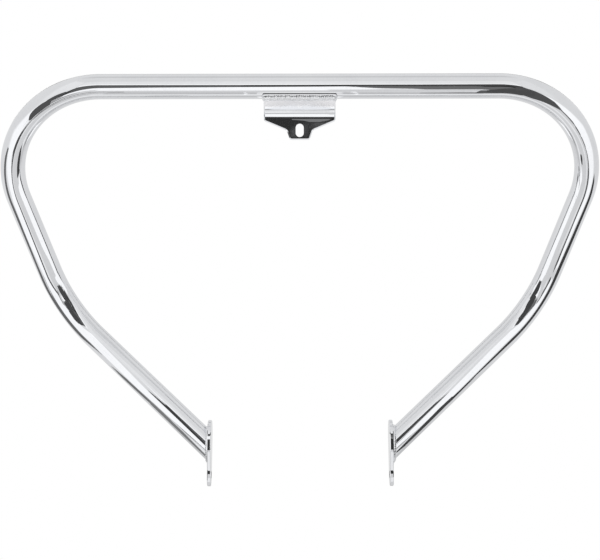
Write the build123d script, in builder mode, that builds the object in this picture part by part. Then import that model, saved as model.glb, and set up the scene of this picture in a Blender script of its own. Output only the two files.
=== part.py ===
from build123d import *
from math import cos, radians, sin, sqrt, tan
import os

# Engine guard for a cruiser motorcycle: one round steel tube bent into a hoop, a folded bracket
# welded under the middle of its top bar, and a flat mounting plate welded over each tube end.
# The origin is the centre of the bracket's bolt slot, on the rear face that meets the frame.
# X runs to the right in a front view, Y to the rear of the motorcycle, and Z up.

# Driving dimensions, in millimetres and degrees.

# Tube: five straight runs meet at four corners, all bent on one die.
tube_diameter = 31.75
tube_wall = 2.5
bend_radius = 120.65
top_corner_half_width = 413.0
lower_corner_half_width = 318.0
lower_corner_drop = 282.0
lower_corner_setback = 150.0
foot_drop = 459.0
foot_setback = 69.0

# Bracket: plate folded once, then cut to a narrow tab with an upright bolt slot.
bracket_width = 91.0
bracket_thickness = 4.8
bracket_slope = 28.0
bracket_flat_length = 20.5
bracket_bend_radius = 12.0
slot_width = 10.3
slot_length = 17.0
slot_to_bend = 7.2
slot_lip = 3.4
wing_side = 3.5
shoulder_wall = 11.4
stem_wall = 7.4
wing_corner_radius = 3.0
shoulder_radius = 6.0
stem_corner_radius = 3.5
bracket_front_bevel = 1.4
bracket_rear_bevel = 0.8

# End plates: rounded over the tube, with a lower lobe for the frame bolt.
plate_gap = 232.0
plate_thickness = 4.8
plate_splay = 1.2
plate_side_margin = 2.5
plate_top_margin = 7.0
front_edge_drop = 7.0
lobe_drop = 40.5
lobe_wall = 9.85
lobe_neck = 6.5
bolt_hole_diameter = 10.3
neck_radius = 9.0
plate_bevel = 0.8

# Weld beads.
front_weld_angle = 18.0
front_weld_crown = 1.2
front_weld_overrun = 2.0
rear_weld_angle = 40.0
rear_weld_root_angle = 15.0
rear_weld_crown = 0.5
rear_weld_inset = 3.0
foot_weld_leg = 4.0
foot_weld_lip = 0.5


# Bracket section, seen from the side: the tab stands up from the origin, folds forward and up,
# and the flat ends where its upper face touches the underside of the top bar.
tube_radius = tube_diameter / 2
bracket_turn = 90.0 - bracket_slope
slope_sin = sin(radians(bracket_slope))
slope_cos = cos(radians(bracket_slope))
tab_top = slot_length / 2 + slot_to_bend
tab_bottom = -slot_length / 2 - slot_lip
fold_end_y = -bracket_thickness - bracket_bend_radius * (1 - slope_sin)
fold_end_z = tab_top + bracket_bend_radius * slope_cos
flat_end_y = fold_end_y - bracket_flat_length * slope_cos
flat_end_z = fold_end_z + bracket_flat_length * slope_sin
bar_y = flat_end_y + (bracket_thickness + tube_radius) * slope_sin
bar_z = flat_end_z + (bracket_thickness + tube_radius) * slope_cos


def under_bar(degrees_forward):
    """A point of the top bar's section, by its angle forward of straight down."""
    turn = radians(degrees_forward)
    return (bar_y - tube_radius * sin(turn), bar_z - tube_radius * cos(turn))


# Right half of the tube's centre line, and the outer face of the right end plate.
splay = radians(plate_splay)
foot_x = plate_gap / 2 + plate_thickness / cos(splay)
top_corner = Vector(top_corner_half_width, bar_y, bar_z)
lower_corner = Vector(lower_corner_half_width, bar_y + lower_corner_setback, bar_z - lower_corner_drop)
foot = Vector(foot_x, bar_y + foot_setback, bar_z - foot_drop)
foot_direction = (foot - lower_corner).normalized()
plate_normal = Vector(cos(splay), 0, sin(splay))
plate_face = Plane(origin=foot, x_dir=(0, 1, 0), z_dir=plate_normal)
foot_lean = abs(foot_direction.dot(plate_normal))
run_end = foot + foot_direction * tube_diameter


def mirrored(point):
    """The same point on the left half."""
    return Vector(-point.X, point.Y, point.Z)


def foot_reach(in_plane):
    """Half the length of the tube's slanted end section along a direction in the plate."""
    return tube_radius * sqrt(1 + (foot_direction.dot(in_plane) / foot_lean) ** 2)


# Guard tube: swept along its centre line, with both ends cut flush to the plates.
with BuildPart() as guard_tube:
    right_run = [top_corner, lower_corner, run_end]
    left_run = [mirrored(point) for point in reversed(right_run)]
    with BuildLine() as centre_line:
        FilletPolyline(*left_run, *right_run, radius=bend_radius)
    with BuildSketch(Plane(origin=centre_line.line @ 0, z_dir=centre_line.line % 0)):
        Circle(tube_radius)
        Circle(tube_radius - tube_wall, mode=Mode.SUBTRACT)
    sweep(path=centre_line.line)
    left_face = Plane(origin=mirrored(foot), x_dir=(0, -1, 0), z_dir=mirrored(plate_normal))
    for cut_face in (plate_face, left_face):
        with BuildSketch(cut_face):
            Circle(2 * tube_diameter)
        extrude(amount=-2 * tube_diameter, mode=Mode.SUBTRACT)

# Upper bracket: the folded section is cut to the tab's outline and slotted.
with BuildPart() as upper_bracket:
    with BuildSketch(Plane.YZ):
        with BuildLine():
            tab_run = Line((-bracket_thickness, tab_bottom), (-bracket_thickness, tab_top))
            fold = JernArc(tab_run @ 1, tab_run % 1, bracket_bend_radius, bracket_turn)
            PolarLine(fold @ 1, bracket_flat_length, direction=fold % 1)
            offset(amount=bracket_thickness, side=Side.RIGHT)
        make_face()
    extrude(amount=bracket_width / 2, both=True)
    stem_half_width = slot_width / 2 + stem_wall
    shoulder_half_width = slot_width / 2 + shoulder_wall
    half_outline = [
        (bracket_width / 2, bar_z),
        (bracket_width / 2, tab_top - wing_side),
        (shoulder_half_width, 0),
        (stem_half_width, tab_bottom),
    ]
    half_radii = [0, wing_corner_radius, shoulder_radius, stem_corner_radius]
    other_half = [(-x, z) for x, z in reversed(half_outline)]
    with BuildSketch(Plane.XZ):
        with BuildLine():
            FilletPolyline(*half_outline, *other_half, radius=half_radii + half_radii[::-1], close=True)
        make_face()
    extrude(amount=bracket_width, both=True, mode=Mode.INTERSECT)
    tab_faces = upper_bracket.faces().filter_by(Axis.Y).sort_by(Axis.Y)
    chamfer(tab_faces[0].outer_wire().edges().sort_by(Axis.Z)[0], bracket_front_bevel)
    tab_faces = upper_bracket.faces().filter_by(Axis.Y).sort_by(Axis.Y)
    chamfer(tab_faces[-1].outer_wire().edges().sort_by(Axis.Z)[0], bracket_rear_bevel)
    with BuildSketch(Plane.XZ):
        SlotOverall(slot_length, slot_width, rotation=90)
    extrude(amount=bracket_width, both=True, mode=Mode.SUBTRACT)

# Right end plate: round over the tube end, straight down the rear, necked in front to the bolt lobe.
plate_half_depth = foot_reach(plate_face.x_dir) + foot_weld_leg + plate_side_margin
plate_top = foot_reach(plate_face.y_dir) + foot_weld_leg + plate_top_margin
round_centre = plate_top - plate_half_depth
lobe_radius = bolt_hole_diameter / 2 + lobe_wall
lobe_setback = plate_half_depth - lobe_radius
lobe_front = lobe_setback - lobe_radius

with BuildPart() as right_mount_plate:
    with BuildSketch(plate_face) as plate_outline:
        with BuildLine():
            rear_edge = Line((plate_half_depth, -lobe_drop), (plate_half_depth, round_centre))
            crown = ThreePointArc(rear_edge @ 1, (0, plate_top), (-plate_half_depth, round_centre))
            front_edge = Line(crown @ 1, (-plate_half_depth, -front_edge_drop))
            neck_end = (lobe_front, lobe_neck - lobe_drop)
            neck = Line(front_edge @ 1, neck_end)
            lobe_edge = Line(neck_end, (lobe_front, -lobe_drop))
            ThreePointArc(lobe_edge @ 1, (lobe_setback, -lobe_drop - lobe_radius), rear_edge @ 0)
        make_face()
        fillet(plate_outline.vertices().sort_by_distance(front_edge @ 1)[0], neck_radius)
        fillet(plate_outline.vertices().sort_by_distance(neck_end)[0], neck_radius)
    extrude(amount=-plate_thickness)
    plate_faces = right_mount_plate.faces().filter_by(GeomType.PLANE).sort_by(SortBy.AREA)[-2:]
    chamfer(plate_faces.edges(), plate_bevel)
    with BuildSketch(plate_face):
        with Locations((lobe_setback, -lobe_drop)):
            Circle(bolt_hole_diameter / 2)
    extrude(amount=-plate_thickness, mode=Mode.SUBTRACT)

with BuildPart() as left_mount_plate:
    mirror(right_mount_plate.part, about=Plane.YZ)

# Front bracket weld: fills the corner between the top bar and the bracket's front edge.
with BuildPart() as bracket_front_weld:
    contact = under_bar(bracket_slope)
    front_toe = under_bar(bracket_slope + front_weld_angle)
    with BuildSketch(Plane.YZ):
        with BuildLine():
            Line(contact, (flat_end_y, flat_end_z))
            SagittaArc((flat_end_y, flat_end_z), front_toe, front_weld_crown)
            ThreePointArc(front_toe, under_bar(bracket_slope + front_weld_angle / 2), contact)
        make_face()
    extrude(amount=bracket_width / 2 + front_weld_overrun, both=True)

# Rear bracket weld: an even fillet between the bracket's upper face and the underside of the bar.
with BuildPart() as bracket_rear_weld:
    root_on_bar = under_bar(bracket_slope - rear_weld_root_angle)
    toe_on_bar = under_bar(bracket_slope - rear_weld_angle)
    root_along = tube_radius * sin(radians(rear_weld_root_angle))
    toe_along = 2 * tube_radius * tan(radians(rear_weld_angle / 2))
    root_on_plate = (contact[0] + root_along * slope_cos, contact[1] - root_along * slope_sin)
    toe_on_plate = (contact[0] + toe_along * slope_cos, contact[1] - toe_along * slope_sin)
    middle_on_bar = under_bar(bracket_slope - (rear_weld_angle + rear_weld_root_angle) / 2)
    with BuildSketch(Plane.YZ):
        with BuildLine():
            Line(root_on_bar, root_on_plate)
            Line(root_on_plate, toe_on_plate)
            SagittaArc(toe_on_plate, toe_on_bar, -rear_weld_crown)
            ThreePointArc(toe_on_bar, middle_on_bar, root_on_bar)
        make_face()
    extrude(amount=bracket_width / 2 - rear_weld_inset, both=True)

# Foot welds: a bead right round the tube where it meets each end plate.
section_long = tube_radius / foot_lean
along_plate = foot_direction - plate_normal * foot_direction.dot(plate_normal)
bead_top = foot - foot_direction * (foot_weld_leg / foot_lean)

with BuildPart() as foot_welds:
    with BuildSketch(Plane(origin=foot, x_dir=along_plate, z_dir=plate_normal)):
        Ellipse(section_long + foot_weld_leg, tube_radius + foot_weld_leg)
    with BuildSketch(Plane(origin=bead_top, x_dir=along_plate, z_dir=plate_normal)):
        Ellipse(section_long + foot_weld_lip, tube_radius + foot_weld_lip)
    loft(ruled=True)
    with BuildSketch(Plane(origin=foot, z_dir=foot_direction)):
        Circle(tube_radius)
    extrude(amount=2 * tube_diameter, both=True, mode=Mode.SUBTRACT)
    mirror(about=Plane.YZ)

# One file for each piece.
pieces = {
    "guard_tube": guard_tube,
    "upper_bracket": upper_bracket,
    "left_mount_plate": left_mount_plate,
    "right_mount_plate": right_mount_plate,
    "bracket_front_weld": bracket_front_weld,
    "bracket_rear_weld": bracket_rear_weld,
    "foot_welds": foot_welds,
}
os.makedirs("parts", exist_ok=True)
for name, piece in pieces.items():
    piece.part.label = name
    export_step(piece.part, f"parts/{name}.step")
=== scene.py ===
"""Chrome finish, rippled weld beads and a white shooting tent for a motorcycle engine guard."""

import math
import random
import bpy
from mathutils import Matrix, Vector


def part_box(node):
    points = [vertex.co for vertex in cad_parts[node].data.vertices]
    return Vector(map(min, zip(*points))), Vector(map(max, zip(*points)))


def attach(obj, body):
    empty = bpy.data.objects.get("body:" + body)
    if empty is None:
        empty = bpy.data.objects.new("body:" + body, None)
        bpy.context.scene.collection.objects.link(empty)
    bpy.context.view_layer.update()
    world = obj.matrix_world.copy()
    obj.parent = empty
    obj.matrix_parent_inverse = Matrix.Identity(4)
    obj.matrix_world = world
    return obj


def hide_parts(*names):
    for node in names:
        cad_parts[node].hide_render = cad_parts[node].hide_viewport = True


bl_info = {
    "name": "Chrome engine guard",
    "version": (1, 0, 0),
    "blender": (4, 5, 0),
    "location": "3D View > Sidebar > Engine guard",
    "description": "Dresses a bent-tube engine guard in chrome, lays its weld beads "
                   "and sets up a white tent",
    "category": "Object",
}

import bmesh
import bpy
from bpy.props import FloatProperty, FloatVectorProperty, IntProperty, PointerProperty
from mathutils import Vector

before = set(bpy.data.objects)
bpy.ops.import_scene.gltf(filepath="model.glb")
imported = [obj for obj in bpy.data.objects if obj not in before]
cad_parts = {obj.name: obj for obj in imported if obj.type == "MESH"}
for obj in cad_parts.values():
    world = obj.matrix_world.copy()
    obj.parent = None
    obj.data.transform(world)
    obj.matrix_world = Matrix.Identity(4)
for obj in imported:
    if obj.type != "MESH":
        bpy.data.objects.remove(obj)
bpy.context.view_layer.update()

# One millimetre in metres.
MM = 0.001

# Sizes repeated from the part, in metres and degrees.
TUBE_RADIUS = 15.875 * MM
BEND_RADIUS = 120.65 * MM
TOP_CORNER = Vector((413.0, 0.0, 0.0)) * MM
LOWER_CORNER = Vector((318.0, 150.0, -282.0)) * MM
FOOT = Vector((120.801, 69.0, -459.0)) * MM
PLATE_SPLAY = 1.2
BRACKET_SLOPE = 28.0
BRACKET_THICKNESS = 4.8 * MM
REAR_WELD_ANGLE = 40.0
FOOT_WELD_LIP = 0.5 * MM

# Tube: sides round it, the degrees from ring to ring in a bend, and the fewest steps of a bend.
TUBE_SIDES = 112
BEND_STEP = 1.2
FEWEST_BEND_STEPS = 8

# Chrome: scales of the polish patches and their grain, then for each finish the wave scale, the fine
# scale, the share of fine texture, the bump in metres and the roughness as a multiple of the tube's.
# Last, the finish of each node of the part.
PATCH_SCALE, GRAIN_SCALE = 14.0, 420.0
FINISHES = {
    "Chrome tube": (9.0, 160.0, 0.02, 0.0004, 1.0),
    "Chrome plate": (18.0, 240.0, 0.02, 0.0002, 1.3),
    "Chrome bracket": (22.0, 240.0, 0.02, 0.0003, 1.3),
    "Chrome weld": (120.0, 900.0, 0.25, 0.0005, 1.8),
}
NODE_FINISHES = {
    "guard_tube": "Chrome tube",
    "upper_bracket": "Chrome bracket",
    "left_mount_plate": "Chrome plate",
    "right_mount_plate": "Chrome plate",
}

# Bracket: height of its fold from the bar's axis, and the reach over which the flat's haze sets in.
FOLD_HEIGHT = -26.5 * MM
HAZE_REACH = 3 * MM

# Ripples of a bead: sections to each, how their spacing and height vary, and how early they peak.
RIPPLE_SECTIONS = 7
PITCH_SPREAD = (0.75, 1.25)
HEIGHT_SPREAD = (0.6, 1.3)
RIPPLE_LEAN = 0.6

# Bracket's beads: how far the front one climbs the bar in degrees, how far its ends sag, how far the
# ripples bow along, the rounded nose, the swelling of the ends, and where the painted shade along the
# upper toe starts and how fast it sets in, as shares of the way from toe to toe.
FRONT_WELD_ANGLE = 23.0
FRONT_SAG = 1.5 * MM
BRACKET_BOW = 1.4 * MM
NOSE = 3.2 * MM
SMALLEST_NOSE = 0.02
SWELL_REACH = 8.0 * MM
END_SWELL = 0.8
TOE_SHADE_START, TOE_SHADE_FADE = 0.88, 0.05

# Beads round the tube's ends: side, name and leg of each, the bow of the ripples, the depth of the
# root, and the ripples' and the crown's shares of the bracket beads' heights.
FOOT_BEADS = ((-1, "left_foot_bead", 2.4 * MM), (1, "right_foot_bead", 3.6 * MM))
FOOT_BOW = 1.0 * MM
FOOT_ROOT = -0.5 * MM
FOOT_RIPPLE = 0.5
FOOT_CROWN = 0.4

# Camera: half the picture's width and the focal length, in pixels.
HALF_WIDTH, FOCAL_LENGTH = 300, 1584.8

# The top bar is the tube's highest and foremost run, so its axis follows from the tube's box.
tube_low, tube_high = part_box("guard_tube")
BAR = Vector((0.0, tube_low.y + TUBE_RADIUS, tube_high.z - TUBE_RADIUS))

# White tent round the guard: how far its walls stand from the top bar's axis, in metres, and their
# light. Each card lies one step further in than the one before it, and faces a point far inside.
TENT = {
    "front": 0.75,
    "back": 0.60,
    "left": 0.54,
    "right": 0.54,
    "floor": 0.56,
    "ceiling": 0.60,
}
WALL_LIGHT = {
    "front": 0.89,
    "back": 0.77,
    "left": 0.80,
    "right": 0.78,
    "floor": 0.73,
    "ceiling": 0.80,
}
CARD_STEP = 0.0004
FAR_INSIDE = 5.0

# Dark openings and white panels of the tent: the wall, how far in from it each stands in mm, its
# light, the share that fades out toward its border, and its corners along and up the wall in mm.
CARDS = (
    # Soft greys on the ceiling and on the upper side walls.
    ("ceiling", 0, 0.66, 0.3, ((-500, -130), (500, -130), (500, 90), (-500, 90))),
    ("left", 0, 0.90, 0.3, ((-750, -60), (-180, -60), (-120, 600), (-750, 600))),
    ("right", 0, 0.84, 0.3, ((-750, -60), (-180, -60), (-120, 600), (-750, 600))),
    # Front wall: a white strip, the openings that the bar and the corners mirror as dark bands, the
    # dark that the tab mirrors with its streaks, and the white below.
    ("front", 0, 1.10, 0.0, ((-540, 60), (540, 60), (540, 175), (-540, 190))),
    ("front", 0, 0.12, 0.0, ((-540, 60), (-480, 80), (-300, 85), (-100, 75), (-100, -170),
                             (-240, -215), (-300, -245), (-400, -295), (-470, -360), (-540, -430))),
    ("front", 0, 0.07, 0.0, ((-100, 75), (200, 95), (340, 110), (540, 80), (540, -120), (80, -120),
                             (-100, -170))),
    ("front", 0, 0.03, 0.15, ((-95, -45), (95, -45), (95, 60), (-95, 60))),
    ("front", 0, 0.16, 0.0, ((55, 36), (51, 32), (28, 25), (19, 26), (39, 32))),
    ("front", 0, 0.10, 0.2, ((-18, 28), (-6, 28), (-6, 8), (-18, 8))),
    ("front", 0, 0.075, 0.2, ((4, 31), (18, 31), (18, 8), (4, 8))),
    ("front", 0, 0.16, 0.0, ((80, -120), (540, -120), (540, -560), (230, -560), (200, -440),
                             (130, -330))),
    ("front", 0, 0.035, 0.0, ((300, -60), (540, -60), (540, -300), (460, -300), (420, -215),
                              (320, -200))),
    ("front", 0, 1.12, 0.0, ((-100, -170), (80, -120), (130, -330), (150, -430), (130, -560),
                             (-540, -560), (-540, -430), (-470, -360), (-400, -295), (-300, -245),
                             (-240, -215))),
    # Left wall: white panels, then the openings that the left leg mirrors.
    ("left", 0, 1.12, 0.3, ((-380, -20), (-20, -50), (-30, -380), (-320, -380))),
    ("left", 0, 1.12, 0.12, ((-520, -330), (110, -330), (80, -560), (-520, -560))),
    ("left", 0, 0.05, 0.0, ((-750, 60), (-700, -10), (-600, -110), (-519, -165), (-344, -287),
                            (-340, -305), (-480, -352), (-750, -420))),
    ("left", 0, 0.20, 0.0, ((-750, -420), (-600, -440), (-540, -500), (-530, -560), (-750, -560))),
    ("left", 0, 0.15, 0.0, ((-50, -150), (-20, -118), (20, -130), (70, -190), (150, -258),
                            (220, -310), (330, -360), (350, -440), (300, -480), (110, -480),
                            (90, -440), (150, -420), (140, -380), (60, -320), (10, -230))),
    # Right wall: the same for the right leg.
    ("right", 0, 1.12, 0.2, ((-440, -40), (-40, -40), (0, -130), (20, -400), (-440, -400))),
    ("right", 0, 1.12, 0.1, ((-580, -320), (0, -320), (0, -560), (-580, -560))),
    ("right", 0, 0.08, 0.0, ((-750, 60), (-700, 0), (-593, -90), (-440, -215), (-450, -245),
                             (-600, -280), (-750, -320))),
    ("right", 0, 0.12, 0.0, ((-455, -310), (-490, -310), (-600, -540), (-540, -550))),
    ("right", 0, 0.05, 0.0, ((15, -195), (55, -195), (130, -260), (165, -330), (170, -440),
                             (130, -500), (60, -560), (25, -545), (22, -480), (35, -410),
                             (36, -330), (8, -250))),
    # Floor: panels and openings that the bar, the bracket, the legs and the corners mirror.
    ("floor", 0, 0.95, 0.0, ((-340, -40), (340, -40), (340, 50), (-340, 50))),
    ("floor", 0, 0.60, 0.2, ((-340, 80), (340, 100), (340, 300), (-340, 300))),
    ("floor", 0, 1.12, 0.0, ((-70, 236), (70, 236), (70, 480), (-70, 480))),
    ("floor", 0, 0.38, 0.0, ((-62, 100), (62, 100), (62, 235), (-62, 235))),
    ("floor", 0, 0.92, 0.1, ((-410, -310), (-310, -340), (-310, -90), (-400, -60))),
    ("floor", 0, 0.92, 0.1, ((290, -330), (350, -330), (350, -240), (310, -200), (250, -200))),
    ("floor", 0, 1.15, 0.0, ((-540, -350), (-470, -320), (-430, -290), (-440, -240), (-470, -50),
                             (-540, 30))),
    ("floor", 0, 1.15, 0.0, ((540, -260), (540, -30), (450, -80), (440, -150), (470, -220))),
    ("floor", 0, 0.08, 0.0, ((-540, -425), (-430, -395), (-405, -345), (-355, -300), (-370, -240),
                             (-400, -105), (-405, -50), (-460, -50), (-455, -115), (-425, -250),
                             (-410, -295), (-460, -335), (-540, -370))),
    ("floor", 0, 0.10, 0.0, ((480, -420), (540, -420), (540, -370), (510, -300), (490, -250),
                             (465, -190), (450, -130), (455, -95), (400, -100), (365, -135),
                             (370, -170), (390, -215), (385, -275), (410, -305), (450, -310),
                             (480, -350))),
    ("floor", 0, 0.08, 0.0, ((-520, -580), (-400, -600), (-410, -555), (-430, -510), (-520, -520))),
    ("floor", 0, 0.05, 0.0, ((-400, -375), (-290, -375), (-290, -330), (-400, -330))),
    ("floor", 0, 0.04, 0.0, ((380, 0), (440, -20), (540, 10), (540, 130), (420, 140), (370, 80))),
    ("floor", 0, 0.18, 0.0, ((-540, 120), (-440, 25), (-400, 25), (-380, 100), (-400, 200),
                             (-470, 330), (-540, 260))),
    ("floor", 0, 0.15, 0.0, ((330, -540), (540, -540), (540, -750), (330, -750))),
    ("floor", 0, 1.12, 0.0, ((-360, -560), (50, -560), (50, -750), (-360, -750))),
    # Cards that stand in from their wall, nearer to the guard.
    ("floor", 410, 0.38, 0.0, ((-340, -66), (-230, -72), (-100, -66), (0, -60), (134, -56),
                               (230, -54), (230, -38), (134, -40), (0, -45), (-100, -50),
                               (-230, -56), (-340, -50))),
    ("right", 440, 1.12, 0.0, ((-310, -545), (-270, -545), (-140, -450), (0, -430), (20, -380),
                               (0, -310), (-60, -270), (-120, -290), (-250, -380), (-320, -480))),
    ("left", 440, 1.12, 0.0, ((-220, -545), (-80, -540), (-40, -440), (0, -400), (-20, -370),
                              (-80, -380), (-190, -340), (-240, -400), (-190, -470))),
    ("floor", 410, 0.15, 0.0, ((160, -56), (245, -66), (245, -34), (160, -40))),
    ("floor", 310, 1.12, 0.0, ((-60, -125), (60, -125), (60, -40), (-60, -40))),
    ("front", 742, 0.21, 0.0, ((-10, -39.2), (40, -39.2), (38, -40.4), (36, -41.2), (25, -43),
                               (13, -43), (5, -41.4), (-10, -40.3))),
    # Back wall: openings that show in the views from behind.
    ("back", 0, 0.06, 0.0, ((-540, 300), (540, 300), (540, 365), (-540, 350))),
    ("back", 0, 0.05, 0.0, ((-540, 40), (-470, 40), (-440, 300), (-540, 300))),
    ("back", 0, 0.05, 0.0, ((540, 40), (480, 40), (450, 300), (540, 300))),
)

# Small dark flags that stand near the bends, the legs and the end plates, each seen from one side
# only: the light, and the corners in mm from the middle of the top bar's axis.
FLAGS = (
    # Left lower bend.
    (0.07, ((-293, 99, -257), (-288, 94, -263), (-289, 89, -268), (-304, 72, -282),
            (-309, 73, -281), (-308, 82, -271), (-302, 93, -261))),
    (0.07, ((-294, 91, -269), (-293, 93, -272), (-297, 92, -280), (-322, 73, -297),
            (-325, 70, -298), (-327, 68, -297), (-316, 75, -287))),
    (0.07, ((-300, 91, -292), (-308, 102, -304), (-324, 90, -305), (-328, 80, -300),
            (-324, 79, -297), (-310, 76, -287), (-304, 76, -283), (-299, 80, -283))),
    # Right lower bend.
    (0.06, ((295, 94, -257), (298, 80, -272), (294, 82, -271), (287, 88, -267), (274, 99, -257),
            (277, 102, -252), (281, 103, -249), (286, 101, -251))),
    (0.06, ((276, 93, -261), (276, 93, -260), (283, 88, -262), (302, 81, -275), (307, 79, -279),
            (310, 82, -287), (288, 91, -273), (281, 93, -266))),
    (0.06, ((288, 94, -281), (285, 85, -271), (290, 82, -272), (310, 75, -287), (312, 77, -290),
            (311, 80, -292), (305, 93, -297), (296, 99, -293))),
    # Band of the left corner.
    (0.09, ((-396, -65, -50), (-390, -65, -42), (-361, -58, -29), (-352, -52, -36),
            (-332, -34, -66), (-351, -34, -86), (-365, -40, -81), (-392, -59, -61))),
    (0.09, ((-320, -29, -52), (-334, -14, -51), (-385, -70, -45), (-403, -95, -42),
            (-403, -116, -42), (-393, -148, -42), (-345, -85, -48), (-321, -33, -52))),
    (0.09, ((-339, -37, -24), (-336, -37, -21), (-327, -48, -15), (-317, -66, -13),
            (-317, -72, -17), (-321, -86, -33), (-330, -85, -47), (-344, -67, -54))),
    # Band of the right corner, its start and its tail.
    (0.09, ((457, -369, -34), (489, -349, -87), (510, -326, -131), (383, -119, -136),
            (293, -31, -93), (275, -38, -66), (299, -134, -22), (356, -238, -10),
            (422, -326, -23))),
    (0.08, ((241, -33, -58), (242, -60, -57), (331, -180, -46), (355, -188, -44), (354, -172, -44),
            (346, -144, -46), (303, -46, -53), (280, -21, -55), (254, -22, -57))),
    (0.15, ((358, -19, -66), (358, -12, -67), (355, -10, -68), (352, -11, -67), (342, -32, -65),
            (341, -43, -63), (342, -46, -63), (347, -46, -63))),
    (0.12, ((364, -4, -82), (360, -17, -83), (361, -25, -83), (366, -30, -84), (367, -17, -83),
            (367, -11, -83), (367, -7, -83))),
    (0.12, ((372, 3, -98), (370, 1, -98), (370, -5, -98), (370, -15, -98), (374, -16, -99),
            (374, -4, -98), (374, 2, -98))),
    (0.12, ((228, -35, -63), (235, -62, -59), (238, -62, -59), (259, -61, -58), (259, -35, -62),
            (258, -23, -64), (232, -23, -64), (228, -24, -64))),
    # Left and right upper leg.
    (0.06, ((-348, 35, -129), (-332, 14, -120), (-326, 15, -117), (-325, 32, -117),
            (-326, 35, -118), (-334, 41, -123))),
    (0.06, ((332, 29, -121), (331, 24, -121), (332, 21, -121), (339, 16, -121), (342, 18, -121),
            (343, 21, -121), (344, 27, -121), (339, 29, -121))),
    # Edges of the left and the right end plate.
    (0.04, ((-123, 30, -468), (-123, 30, -450), (-111, 30, -450), (-111, 30, -468))),
    (0.04, ((-124, 62, -497), (-124, 62, -488), (-110, 62, -488), (-110, 62, -497))),
    (0.03, ((111, 30, -467), (111, 30, -448), (124, 30, -448), (124, 30, -467))),
    (0.03, ((110, 62, -497), (110, 62, -488), (125, 62, -488), (125, 62, -497))),
    # Left and right lower leg.
    (0.22, ((-239, 118, -444), (-239, 114, -438), (-230, 82, -420), (-221, 73, -433),
            (-200, 58, -468), (-174, 50, -524), (-177, 67, -538), (-186, 85, -538),
            (-223, 113, -478))),
    (0.06, ((230, 93, -476), (224, 86, -524), (201, 45, -519), (197, 36, -504), (202, 43, -477),
            (208, 52, -451), (215, 62, -425), (223, 76, -407), (231, 90, -419))),
)


class GuardChromeSettings(bpy.types.PropertyGroup):
    """Chrome plate on the tube, the plates and the welds"""

    bright: FloatVectorProperty(
        name="Bright chrome",
        description="Reflection colour of clean plate",
        subtype="COLOR",
        size=3,
        min=0.0,
        max=1.0,
        default=(0.865, 0.875, 0.895),
    )
    dull: FloatVectorProperty(
        name="Dull chrome",
        description="Reflection colour where the plate is thin or hazy",
        subtype="COLOR",
        size=3,
        min=0.0,
        max=1.0,
        default=(0.80, 0.81, 0.835),
    )
    satin: FloatVectorProperty(
        name="Satin",
        description="Reflection colour of the bracket's hazy flat",
        subtype="COLOR",
        size=3,
        min=0.0,
        max=1.0,
        default=(0.985, 0.98, 1.0),
    )
    # Painted shade: this dark colour along the beads' upper toe stands in for the shade that falls in
    # the crevice between bead and bar.
    gap: FloatVectorProperty(
        name="Gap",
        description="Thin plating in the gap along a bead's upper toe",
        subtype="COLOR",
        size=3,
        min=0.0,
        max=1.0,
        default=(0.13, 0.13, 0.135),
    )
    gloss_low: FloatProperty(
        name="Lowest roughness",
        description="Roughness of the best polished patches",
        min=0.0,
        max=1.0,
        default=0.02,
    )
    gloss_high: FloatProperty(
        name="Highest roughness",
        description="Roughness of the haziest patches",
        min=0.0,
        max=1.0,
        default=0.06,
    )
    weld_haze: FloatProperty(
        name="Haze beside the weld",
        description="Added roughness of the bracket's flat, which can't be polished close to the weld",
        min=0.0,
        max=1.0,
        default=0.32,
    )


class GuardWeldSettings(bpy.types.PropertyGroup):
    """Rippled beads at the bracket and at the tube's ends"""

    pitch: FloatProperty(
        name="Ripple pitch",
        description="Mean distance from one ripple to the next",
        unit="LENGTH",
        min=0.0005,
        default=2.6 * MM,
    )
    height: FloatProperty(
        name="Ripple height",
        description="How far a ripple stands above the bead",
        unit="LENGTH",
        min=0.0,
        default=0.3 * MM,
    )
    crown: FloatProperty(
        name="Bead crown",
        description="How far the middle of the bead stands above its toes",
        unit="LENGTH",
        min=0.0,
        default=1.3 * MM,
    )
    front_crown: FloatProperty(
        name="Front bead crown",
        description="The same for the bead that laps over the bracket's front edge",
        unit="LENGTH",
        min=0.0,
        default=2.4 * MM,
    )
    front_lap: FloatProperty(
        name="Front bead lap",
        description="How far the front bead runs on to the bracket's flat",
        unit="LENGTH",
        min=0.0,
        default=1.8 * MM,
    )
    across: IntProperty(
        name="Points across",
        description="Points from toe to toe",
        min=5,
        default=15,
    )


class GuardStageSettings(bpy.types.PropertyGroup):
    """Camera and white tent"""

    camera: FloatVectorProperty(
        name="Camera place",
        description="Where the camera stands",
        subtype="XYZ",
        unit="LENGTH",
        size=3,
        default=(0.0, -2.0196, -0.1903),
    )
    view_angle: FloatProperty(
        name="View angle",
        description="Width of the picture",
        subtype="ANGLE",
        default=2 * math.atan(HALF_WIDTH / FOCAL_LENGTH),
    )
    roll: FloatProperty(
        name="Roll",
        description="Turn of the camera about its line of sight",
        subtype="ANGLE",
        default=0.002,
    )
    wall_light: FloatProperty(
        name="Wall light",
        description="Scales the light of the tent's white walls",
        min=0.0,
        default=1.0,
    )


def new_node(tree, kind, **values):
    """Adds a node and sets its properties, and its inputs by name."""
    node = tree.nodes.new(kind)
    for name, value in values.items():
        if name in node.bl_rna.properties:
            setattr(node, name, value)
        else:
            node.inputs[name].default_value = value
    return node


def new_group(name, inputs, outputs):
    """Starts a shader group with named float, vector or colour sockets."""
    tree = bpy.data.node_groups.new(name, "ShaderNodeTree")
    for label, kind in inputs:
        tree.interface.new_socket(label, in_out="INPUT", socket_type=kind)
    for label, kind in outputs:
        tree.interface.new_socket(label, in_out="OUTPUT", socket_type=kind)
    return tree, tree.nodes.new("NodeGroupInput"), tree.nodes.new("NodeGroupOutput")


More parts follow.
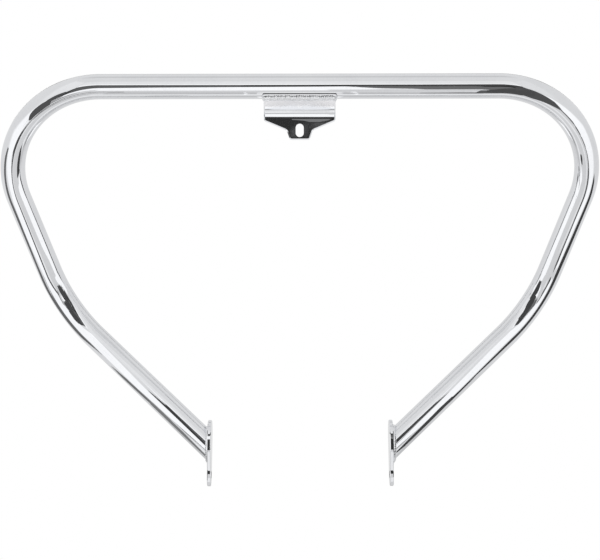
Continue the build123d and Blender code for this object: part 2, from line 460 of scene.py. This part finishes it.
def polish_group():
    """Patches of better and worse polish, as a mask."""
    tree, given, result = new_group(
        "Polish patches",
        [
            ("Place", "NodeSocketVector"),
            ("Patch Scale", "NodeSocketFloat"),
            ("Grain Scale", "NodeSocketFloat"),
        ],
        [("Mask", "NodeSocketFloat")],
    )
    patch = new_node(tree, "ShaderNodeTexNoise", Detail=3.0, Roughness=0.55)
    grain = new_node(tree, "ShaderNodeTexNoise", Detail=2.0, Roughness=0.6)
    both = new_node(tree, "ShaderNodeMath", operation="MULTIPLY")
    spread = new_node(tree, "ShaderNodeMapRange", **{"From Min": 0.12, "From Max": 0.42})
    tree.links.new(given.outputs["Place"], patch.inputs["Vector"])
    tree.links.new(given.outputs["Patch Scale"], patch.inputs["Scale"])
    tree.links.new(given.outputs["Place"], grain.inputs["Vector"])
    tree.links.new(given.outputs["Grain Scale"], grain.inputs["Scale"])
    tree.links.new(patch.outputs["Fac"], both.inputs[0])
    tree.links.new(grain.outputs["Fac"], both.inputs[1])
    tree.links.new(both.outputs["Value"], spread.inputs["Value"])
    tree.links.new(spread.outputs["Result"], result.inputs["Mask"])


def wave_group():
    """Slow waves of polished metal with a little fine texture, as a height."""
    tree, given, result = new_group(
        "Polish waves",
        [
            ("Place", "NodeSocketVector"),
            ("Wave Scale", "NodeSocketFloat"),
            ("Fine Scale", "NodeSocketFloat"),
            ("Fine Share", "NodeSocketFloat"),
        ],
        [("Height", "NodeSocketFloat")],
    )
    wave = new_node(tree, "ShaderNodeTexNoise", Detail=1.0, Roughness=0.4)
    fine = new_node(tree, "ShaderNodeTexNoise", Detail=2.0, Roughness=0.5)
    scaled = new_node(tree, "ShaderNodeMath", operation="MULTIPLY")
    both = new_node(tree, "ShaderNodeMath", operation="ADD")
    tree.links.new(given.outputs["Place"], wave.inputs["Vector"])
    tree.links.new(given.outputs["Wave Scale"], wave.inputs["Scale"])
    tree.links.new(given.outputs["Place"], fine.inputs["Vector"])
    tree.links.new(given.outputs["Fine Scale"], fine.inputs["Scale"])
    tree.links.new(fine.outputs["Fac"], scaled.inputs[0])
    tree.links.new(given.outputs["Fine Share"], scaled.inputs[1])
    tree.links.new(wave.outputs["Fac"], both.inputs[0])
    tree.links.new(scaled.outputs["Value"], both.inputs[1])
    tree.links.new(both.outputs["Value"], result.inputs["Height"])


def chrome_material(name):
    """Chrome with patches of polish and slow waves, as the finish of that name has them."""
    chrome = bpy.context.scene.guard_chrome
    wave_scale, fine_scale, fine_share, bump, haze = FINISHES[name]
    material = bpy.data.materials.new(name)
    material.use_nodes = True
    tree = material.node_tree
    shader = tree.nodes["Principled BSDF"]
    shader.inputs["Metallic"].default_value = 1.0
    place = new_node(tree, "ShaderNodeTexCoord")
    patches = new_node(tree, "ShaderNodeGroup", node_tree=bpy.data.node_groups["Polish patches"])
    patches.inputs["Patch Scale"].default_value = PATCH_SCALE
    patches.inputs["Grain Scale"].default_value = GRAIN_SCALE
    colour = new_node(tree, "ShaderNodeMix", data_type="RGBA")
    colour.inputs["A"].default_value = (*chrome.bright, 1.0)
    colour.inputs["B"].default_value = (*chrome.dull, 1.0)
    gloss = new_node(tree, "ShaderNodeMapRange")
    gloss.inputs["To Min"].default_value = chrome.gloss_low * haze
    gloss.inputs["To Max"].default_value = chrome.gloss_high * haze
    height = new_node(tree, "ShaderNodeGroup", node_tree=bpy.data.node_groups["Polish waves"])
    height.inputs["Wave Scale"].default_value = wave_scale
    height.inputs["Fine Scale"].default_value = fine_scale
    height.inputs["Fine Share"].default_value = fine_share
    relief = new_node(tree, "ShaderNodeBump", Strength=1.0, Distance=bump)
    tree.links.new(place.outputs["Object"], patches.inputs["Place"])
    tree.links.new(place.outputs["Object"], height.inputs["Place"])
    tree.links.new(patches.outputs["Mask"], colour.inputs["Factor"])
    tree.links.new(colour.outputs["Result"], shader.inputs["Base Color"])
    tree.links.new(patches.outputs["Mask"], gloss.inputs["Value"])
    tree.links.new(gloss.outputs["Result"], shader.inputs["Roughness"])
    tree.links.new(height.outputs["Height"], relief.inputs["Height"])
    tree.links.new(relief.outputs["Normal"], shader.inputs["Normal"])


def haze_by_weld(material):
    """Makes the bracket's flat a paler, hazier satin than the polished fold and tab below it."""
    chrome = bpy.context.scene.guard_chrome
    tree = material.node_tree
    shader = tree.nodes["Principled BSDF"]
    polish = shader.inputs["Roughness"].links[0].from_socket
    plating = shader.inputs["Base Color"].links[0].from_socket
    fold = BAR.z + FOLD_HEIGHT
    place = new_node(tree, "ShaderNodeTexCoord")
    axes = new_node(tree, "ShaderNodeSeparateXYZ")
    flat = new_node(tree, "ShaderNodeMapRange", **{"From Min": fold, "From Max": fold + HAZE_REACH})
    haze = new_node(tree, "ShaderNodeMath", operation="MULTIPLY_ADD")
    haze.inputs[1].default_value = chrome.weld_haze
    satin = new_node(tree, "ShaderNodeMix", data_type="RGBA")
    satin.inputs["B"].default_value = (*chrome.satin, 1.0)
    tree.links.new(place.outputs["Object"], axes.inputs["Vector"])
    tree.links.new(axes.outputs["Z"], flat.inputs["Value"])
    tree.links.new(flat.outputs["Result"], haze.inputs[0])
    tree.links.new(polish, haze.inputs[2])
    tree.links.new(haze.outputs["Value"], shader.inputs["Roughness"])
    tree.links.new(flat.outputs["Result"], satin.inputs["Factor"])
    tree.links.new(plating, satin.inputs["A"])
    tree.links.new(satin.outputs["Result"], shader.inputs["Base Color"])


def paint_toe_shade(material):
    """Paints shade into the plating colour in the narrow crevice along the upper toe of the bracket's
    beads.
    """
    chrome = bpy.context.scene.guard_chrome
    tree = material.node_tree
    shader = tree.nodes["Principled BSDF"]
    plating = shader.inputs["Base Color"].links[0].from_socket
    # The toe attribute is the mask of the painted shade along the upper toe.
    toe = new_node(tree, "ShaderNodeAttribute", attribute_name="toe")
    gap = new_node(tree, "ShaderNodeMix", data_type="RGBA")
    gap.inputs["B"].default_value = (*chrome.gap, 1.0)
    tree.links.new(toe.outputs["Fac"], gap.inputs["Factor"])
    tree.links.new(plating, gap.inputs["A"])
    tree.links.new(gap.outputs["Result"], shader.inputs["Base Color"])


def tent_material(name, light):
    """Plain even light from the front of a wall or card, thinning out where its cover falls."""
    material = bpy.data.materials.new(name)
    material.use_nodes = True
    tree = material.node_tree
    tree.nodes.remove(tree.nodes["Principled BSDF"])
    glow = new_node(tree, "ShaderNodeEmission", Color=(light, light, light, 1.0), Strength=1.0)
    clear = new_node(tree, "ShaderNodeBsdfTransparent")
    cover = new_node(tree, "ShaderNodeAttribute", attribute_name="cover")
    side = new_node(tree, "ShaderNodeNewGeometry")
    shown = new_node(tree, "ShaderNodeMath", operation="SUBTRACT", use_clamp=True)
    blend = new_node(tree, "ShaderNodeMixShader")
    tree.links.new(cover.outputs["Fac"], shown.inputs[0])
    tree.links.new(side.outputs["Backfacing"], shown.inputs[1])
    tree.links.new(shown.outputs["Value"], blend.inputs["Fac"])
    tree.links.new(clear.outputs["BSDF"], blend.inputs[1])
    tree.links.new(glow.outputs["Emission"], blend.inputs[2])
    tree.links.new(blend.outputs["Shader"], tree.nodes["Material Output"].inputs["Surface"])
    return material


def shown_object(name, mesh):
    """Links a new mesh object to the scene."""
    piece = bpy.data.objects.new(name, mesh)
    bpy.context.scene.collection.objects.link(piece)
    return piece


def ripple_edges(length, pitch, seed):
    """Uneven ripple borders along a bead, and each ripple's share of the mean height."""
    draw = random.Random(seed)
    edges, heights = [-2 * pitch], []
    while edges[-1] < length + 2 * pitch:
        edges.append(edges[-1] + pitch * draw.uniform(*PITCH_SPREAD))
        heights.append(draw.uniform(*HEIGHT_SPREAD))
    return edges, heights


def ripple_at(edges, heights, along):
    """Height share of the ripples at a place: each climbs fast and dies away slowly."""
    for start, end, height in zip(edges, edges[1:], heights):
        if start <= along < end:
            share = (along - start) / (end - start)
            return height * math.sin(math.pi * share ** RIPPLE_LEAN)
    return 0.0


def bead_section(low_toe, high_toe, root, crown, ripple, across):
    """Points of one bead section: from toe to toe over the crown, then the hidden root."""
    chord = high_toe - low_toe
    outward = (low_toe + high_toe) / 2 - root
    outward -= chord * (outward.dot(chord) / chord.length_squared)
    outward.normalize()
    points = []
    for i in range(across):
        share = i / (across - 1)
        swell = 4 * share * (1 - share)
        rise = crown * swell + ripple(share) * math.sqrt(swell)
        points.append(low_toe + chord * share + outward * rise)
    points.append(root)
    return points


def bead_mesh(name, sections, closed):
    """Skins a row of sections with quads, and closes the ends of an open bead."""
    builder = bmesh.new()
    rings = [[builder.verts.new(p) for p in section] for section in sections]
    pairs = list(zip(rings, rings[1:]))
    if closed:
        pairs.append((rings[-1], rings[0]))
    for a, b in pairs:
        for i in range(len(a)):
            j = (i + 1) % len(a)
            builder.faces.new((a[i], a[j], b[j], b[i]))
    if not closed:
        builder.faces.new(rings[0])
        builder.faces.new(list(reversed(rings[-1])))
    bmesh.ops.recalc_face_normals(builder, faces=builder.faces)
    mesh = bpy.data.meshes.new(name)
    builder.to_mesh(mesh)
    builder.free()
    mesh.shade_smooth()
    return mesh


def under_bar(degrees_forward):
    """A point on the middle of the top bar, by its angle forward of straight down."""
    turn = math.radians(degrees_forward)
    return Vector((0.0, BAR.y - TUBE_RADIUS * math.sin(turn), BAR.z - TUBE_RADIUS * math.cos(turn)))


def straight_bead(name, half_length, low_toe, high_toe, root, height, seed, sag=0.0):
    """A bead along X with swollen, rounded ends, where its lower toe sags, and painted shade along its
    upper toe.
    """
    weld = bpy.context.scene.guard_weld
    length = 2 * half_length
    edges, heights = ripple_edges(length, weld.pitch, seed)
    step = weld.pitch / RIPPLE_SECTIONS
    count = int(length / step) + 1
    sections = []
    for k in range(count + 1):
        along = length * k / count
        end = min(along, length - along)
        taper = math.sqrt(max(0.0, 1 - max(0.0, 1 - end / NOSE) ** 2))
        blob = max(0.0, 1 - end / SWELL_REACH) ** 2
        crown = height * (1 + END_SWELL * blob)
        toe = low_toe + (low_toe - high_toe).normalized() * (sag * blob)

        def ripple(share):
            bowed = along + BRACKET_BOW * 4 * share * (1 - share)
            return weld.height * ripple_at(edges, heights, bowed)

        offset = Vector((along - half_length, 0.0, 0.0))
        section = bead_section(toe, high_toe, root, crown, ripple, weld.across)
        sections.append([root + (p - root) * max(taper, SMALLEST_NOSE) + offset for p in section])
    mesh = bead_mesh(name, sections, closed=False)
    shares = [i / (weld.across - 1) for i in range(weld.across)]
    # Mask of the painted shade along the upper toe, kept as the toe attribute.
    toe_painted_shade = [min(max(0.0, share - TOE_SHADE_START) / TOE_SHADE_FADE, 1.0) for share in shares] + [1.0]
    mesh.attributes.new("toe", "FLOAT", "POINT").data.foreach_set("value", toe_painted_shade * len(sections))
    return shown_object(name, mesh)


class GUARD_OT_chrome(bpy.types.Operator):
    """Make the chrome finishes, and plate the tube, the bracket and the end plates"""

    bl_idname = "guard.chrome"
    bl_label = "Chrome finish"

    def execute(self, context):
        polish_group()
        wave_group()
        for name in FINISHES:
            chrome_material(name)
        haze_by_weld(bpy.data.materials["Chrome bracket"])
        paint_toe_shade(bpy.data.materials["Chrome weld"])
        for node, name in NODE_FINISHES.items():
            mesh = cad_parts[node].data
            mesh.materials.clear()
            mesh.materials.append(bpy.data.materials[name])
        return {"FINISHED"}


def hoop_axis():
    """The tube's centre line from the left foot to the right one, with a tangent at each point."""
    half = [TOP_CORNER, LOWER_CORNER, FOOT]
    corners = [BAR + p * Vector((-1, 1, 1)) for p in reversed(half)] + [BAR + p for p in half]
    points = [(corners[0], (corners[1] - corners[0]).normalized())]
    for before, corner, after in zip(corners, corners[1:], corners[2:]):
        arrive = (corner - before).normalized()
        leave = (after - corner).normalized()
        turn = arrive.angle(leave)
        reach = BEND_RADIUS * math.tan(turn / 2)
        axis = arrive.cross(leave).normalized()
        inward = axis.cross(arrive)
        centre = corner - arrive * reach + inward * BEND_RADIUS
        steps = max(FEWEST_BEND_STEPS, int(math.degrees(turn) / BEND_STEP))
        for k in range(steps + 1):
            spin = turn * k / steps
            tangent = arrive * math.cos(spin) + inward * math.sin(spin)
            outward = arrive * math.sin(spin) - inward * math.cos(spin)
            points.append((centre + outward * BEND_RADIUS, tangent))
    points.append((corners[-1], (corners[-1] - corners[-2]).normalized()))
    return points


class GUARD_OT_tube(bpy.types.Operator):
    """Sweep the bent tube with finely rounded bends, its ends cut to the plates"""

    bl_idname = "guard.tube"
    bl_label = "Bent tube"

    def execute(self, context):
        splay = math.radians(PLATE_SPLAY)
        axis = hoop_axis()
        aside = axis[0][1].cross(Vector((0.0, 1.0, 0.0))).normalized()
        vertices, normals, faces = [], [], []
        for k, (centre, tangent) in enumerate(axis):
            aside = (aside - tangent * aside.dot(tangent)).normalized()
            other = tangent.cross(aside)
            end = k in (0, len(axis) - 1)
            cut = Vector((math.cos(splay) * (-1 if k == 0 else 1), 0.0, math.sin(splay)))
            for i in range(TUBE_SIDES):
                turn = 2 * math.pi * i / TUBE_SIDES
                outward = aside * math.cos(turn) + other * math.sin(turn)
                place = centre + outward * TUBE_RADIUS
                if end:
                    place -= tangent * ((place - centre).dot(cut) / tangent.dot(cut))
                vertices.append(place)
                normals.append(outward)
            if k > 0:
                for i in range(TUBE_SIDES):
                    j = (i + 1) % TUBE_SIDES
                    a, b = (k - 1) * TUBE_SIDES, k * TUBE_SIDES
                    faces.append((a + i, a + j, b + j, b + i))
        faces.append(tuple(range(TUBE_SIDES - 1, -1, -1)))
        faces.append(tuple((len(axis) - 1) * TUBE_SIDES + i for i in range(TUBE_SIDES)))
        mesh = bpy.data.meshes.new("bent_tube")
        mesh.from_pydata(vertices, [], faces)
        mesh.shade_smooth()
        mesh.normals_split_custom_set_from_vertices(normals)
        mesh.materials.append(bpy.data.materials["Chrome tube"])
        tube = shown_object("bent_tube", mesh)
        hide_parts("guard_tube")
        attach(tube, "root")
        return {"FINISHED"}


class GUARD_OT_bracket_welds(bpy.types.Operator):
    """Lay the rippled beads along the bracket's front edge and behind it"""

    bl_idname = "guard.bracket_welds"
    bl_label = "Bracket welds"

    def execute(self, context):
        weld = context.scene.guard_weld
        slope = math.radians(BRACKET_SLOPE)
        contact = under_bar(BRACKET_SLOPE)
        down_flat = Vector((0.0, math.cos(slope), -math.sin(slope)))
        lower_edge = contact + Vector((0.0, -math.sin(slope), -math.cos(slope))) * BRACKET_THICKNESS
        front_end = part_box("bracket_front_weld")[1].x
        front = straight_bead(
            "bracket_front_bead", front_end, lower_edge + down_flat * weld.front_lap,
            under_bar(BRACKET_SLOPE + FRONT_WELD_ANGLE), contact, weld.front_crown, seed=4,
            sag=FRONT_SAG,
        )
        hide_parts("bracket_front_weld")
        rear_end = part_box("bracket_rear_weld")[1].x
        toe_along = 2 * TUBE_RADIUS * math.tan(math.radians(REAR_WELD_ANGLE / 2))
        rear = straight_bead(
            "bracket_rear_bead", rear_end, contact + down_flat * toe_along,
            under_bar(BRACKET_SLOPE - REAR_WELD_ANGLE), contact, weld.crown, seed=9,
        )
        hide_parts("bracket_rear_weld")
        for piece in (front, rear):
            piece.data.materials.append(bpy.data.materials["Chrome weld"])
            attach(piece, "root")
        return {"FINISHED"}


class GUARD_OT_foot_welds(bpy.types.Operator):
    """Lay a rippled bead round each tube end, on its plate"""

    bl_idname = "guard.foot_welds"
    bl_label = "Foot welds"

    def execute(self, context):
        weld = context.scene.guard_weld
        splay = math.radians(PLATE_SPLAY)
        for side, name, leg in FOOT_BEADS:
            flip = Vector((side, 1.0, 1.0))
            foot = (BAR + FOOT) * flip
            toward = ((FOOT - LOWER_CORNER) * flip).normalized()
            normal = Vector((math.cos(splay), 0.0, math.sin(splay))) * flip
            lean = abs(toward.dot(normal))
            long_way = (toward - normal * toward.dot(normal)).normalized()
            short_way = normal.cross(long_way)
            top = foot - toward * (leg / lean)
            long_half = TUBE_RADIUS / lean
            girth = math.pi * (long_half + TUBE_RADIUS)
            edges, heights = ripple_edges(girth, weld.pitch, seed=20 + side)
            count = int(girth / (weld.pitch / RIPPLE_SECTIONS))
            sections = []
            for k in range(count):
                turn = 2 * math.pi * k / count
                along = girth * k / count

                def at(centre, spare):
                    return (
                        centre
                        + long_way * ((long_half + spare) * math.cos(turn))
                        + short_way * ((TUBE_RADIUS + spare) * math.sin(turn))
                    )

                def ripple(share):
                    bowed = along + FOOT_BOW * 4 * share * (1 - share)
                    return FOOT_RIPPLE * weld.height * ripple_at(edges, heights, bowed)

                sections.append(
                    bead_section(
                        at(foot, leg), at(top, FOOT_WELD_LIP), at(foot, FOOT_ROOT),
                        FOOT_CROWN * weld.crown, ripple, weld.across,
                    )
                )
            piece = shown_object(name, bead_mesh(name, sections, closed=True))
            piece.data.materials.append(bpy.data.materials["Chrome weld"])
            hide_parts("foot_welds")
            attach(piece, "root")
        return {"FINISHED"}


def card(name, corners, light, fade=0.0):
    """A flat one-sided panel: it lights and is mirrored, and the camera looks through it."""
    count = len(corners)
    middle = sum(corners, Vector()) / count
    vertices, faces, cover = list(corners), [tuple(range(count))], [1.0] * count
    if fade > 0:
        vertices += [middle + (p - middle) * (1 - fade) for p in corners]
        faces = [tuple(range(count, 2 * count))]
        faces += [(i, (i + 1) % count, count + (i + 1) % count, count + i) for i in range(count)]
        cover = [0.0] * count + [1.0] * count
    mesh = bpy.data.meshes.new(name)
    mesh.from_pydata(vertices, [], faces)
    mesh.attributes.new("cover", "FLOAT", "POINT").data.foreach_set("value", cover)
    mesh.materials.append(tent_material(name, light))
    panel = shown_object(name, mesh)
    panel.visible_camera = False
    panel.visible_shadow = False


def facing(corners, eye):
    """The same corners, ordered so that the panel faces a point."""
    middle = sum(corners, Vector()) / len(corners)
    area = Vector()
    for a, b in zip(corners, corners[1:] + corners[:1]):
        area += (a - middle).cross(b - middle)
    return corners if area.dot(eye - middle) > 0 else corners[::-1]


def on_wall(wall, along, up, inward):
    """A point of a tent wall, along and up it, or some way in from it."""
    reach = TENT[wall] - inward
    if wall in ("front", "back"):
        return BAR + Vector((along, -reach if wall == "front" else reach, up))
    if wall in ("left", "right"):
        return BAR + Vector((-reach if wall == "left" else reach, along, up))
    return BAR + Vector((along, up, -reach if wall == "floor" else reach))


class GUARD_OT_stage(bpy.types.Operator):
    """Set up the white tent, the white background and the camera"""

    bl_idname = "guard.stage"
    bl_label = "Stage"

    def execute(self, context):
        stage = context.scene.guard_stage
        across = (-TENT["left"], TENT["right"])
        deep = (-TENT["front"], TENT["back"])
        high = (-TENT["floor"], TENT["ceiling"])
        spans = {
            "front": (across, high),
            "back": (across, high),
            "left": (deep, high),
            "right": (deep, high),
            "floor": (across, deep),
            "ceiling": (across, deep),
        }
        for wall, ((a, b), (c, d)) in spans.items():
            corners = [on_wall(wall, *p, 0.0) for p in ((a, c), (b, c), (b, d), (a, d))]
            card(f"tent_{wall}", facing(corners, BAR), WALL_LIGHT[wall] * stage.wall_light)
        for k, (wall, reach, light, fade, places) in enumerate(CARDS):
            inward = reach * MM + CARD_STEP * (k + 1)
            corners = [on_wall(wall, along * MM, up * MM, inward) for along, up in places]
            inside = on_wall(wall, 0.0, 0.0, FAR_INSIDE)
            card(f"card_{k + 1:02d}_{wall}", facing(corners, inside), light, fade)
        for k, (light, places) in enumerate(FLAGS):
            card(f"flag_{k + 1}", [BAR + Vector(place) * MM for place in places], light)

        world = bpy.data.worlds.new("White studio")
        world.use_nodes = True
        world.node_tree.nodes["Background"].inputs["Color"].default_value = (1.0, 1.0, 1.0, 1.0)
        world.node_tree.nodes["Background"].inputs["Strength"].default_value = 1.0
        context.scene.world = world
        context.scene.view_settings.view_transform = "Standard"

        lens = bpy.data.cameras.new("Camera")
        lens.sensor_fit = "HORIZONTAL"
        lens.angle = stage.view_angle
        camera = bpy.data.objects.new("Camera", lens)
        camera.location = stage.camera
        camera.rotation_euler = (math.radians(90), stage.roll, 0.0)
        context.scene.collection.objects.link(camera)
        context.scene.camera = camera
        return {"FINISHED"}


class GUARD_PT_panel(bpy.types.Panel):
    """The guard's steps and settings"""

    bl_idname = "GUARD_PT_panel"
    bl_label = "Engine guard"
    bl_space_type = "VIEW_3D"
    bl_region_type = "UI"
    bl_category = "Engine guard"

    def draw(self, context):
        layout = self.layout
        steps = (
            (context.scene.guard_chrome, (GUARD_OT_chrome, GUARD_OT_tube)),
            (context.scene.guard_weld, (GUARD_OT_bracket_welds, GUARD_OT_foot_welds)),
            (context.scene.guard_stage, (GUARD_OT_stage,)),
        )
        for group, operators in steps:
            box = layout.box()
            for name in group.__annotations__:
                box.prop(group, name)
            for operator in operators:
                box.operator(operator.bl_idname)


SETTINGS = {
    "guard_chrome": GuardChromeSettings,
    "guard_weld": GuardWeldSettings,
    "guard_stage": GuardStageSettings,
}
OPERATORS = (
    GUARD_OT_chrome,
    GUARD_OT_tube,
    GUARD_OT_bracket_welds,
    GUARD_OT_foot_welds,
    GUARD_OT_stage,
)


def register():
    """Adds the settings, the operators and the panel."""
    for name, group in SETTINGS.items():
        bpy.utils.register_class(group)
        setattr(bpy.types.Scene, name, PointerProperty(type=group))
    for operator in OPERATORS:
        bpy.utils.register_class(operator)
    bpy.utils.register_class(GUARD_PT_panel)


def unregister():
    """Takes them away again."""
    bpy.utils.unregister_class(GUARD_PT_panel)
    for operator in reversed(OPERATORS):
        bpy.utils.unregister_class(operator)
    for name, group in SETTINGS.items():
        delattr(bpy.types.Scene, name)
        bpy.utils.unregister_class(group)


def main():
    """Dresses the guard and sets up the tent."""
    register()
    bpy.ops.guard.chrome()
    bpy.ops.guard.tube()
    bpy.ops.guard.bracket_welds()
    bpy.ops.guard.foot_welds()
    bpy.ops.guard.stage()


if __name__ == "__main__":
    main()
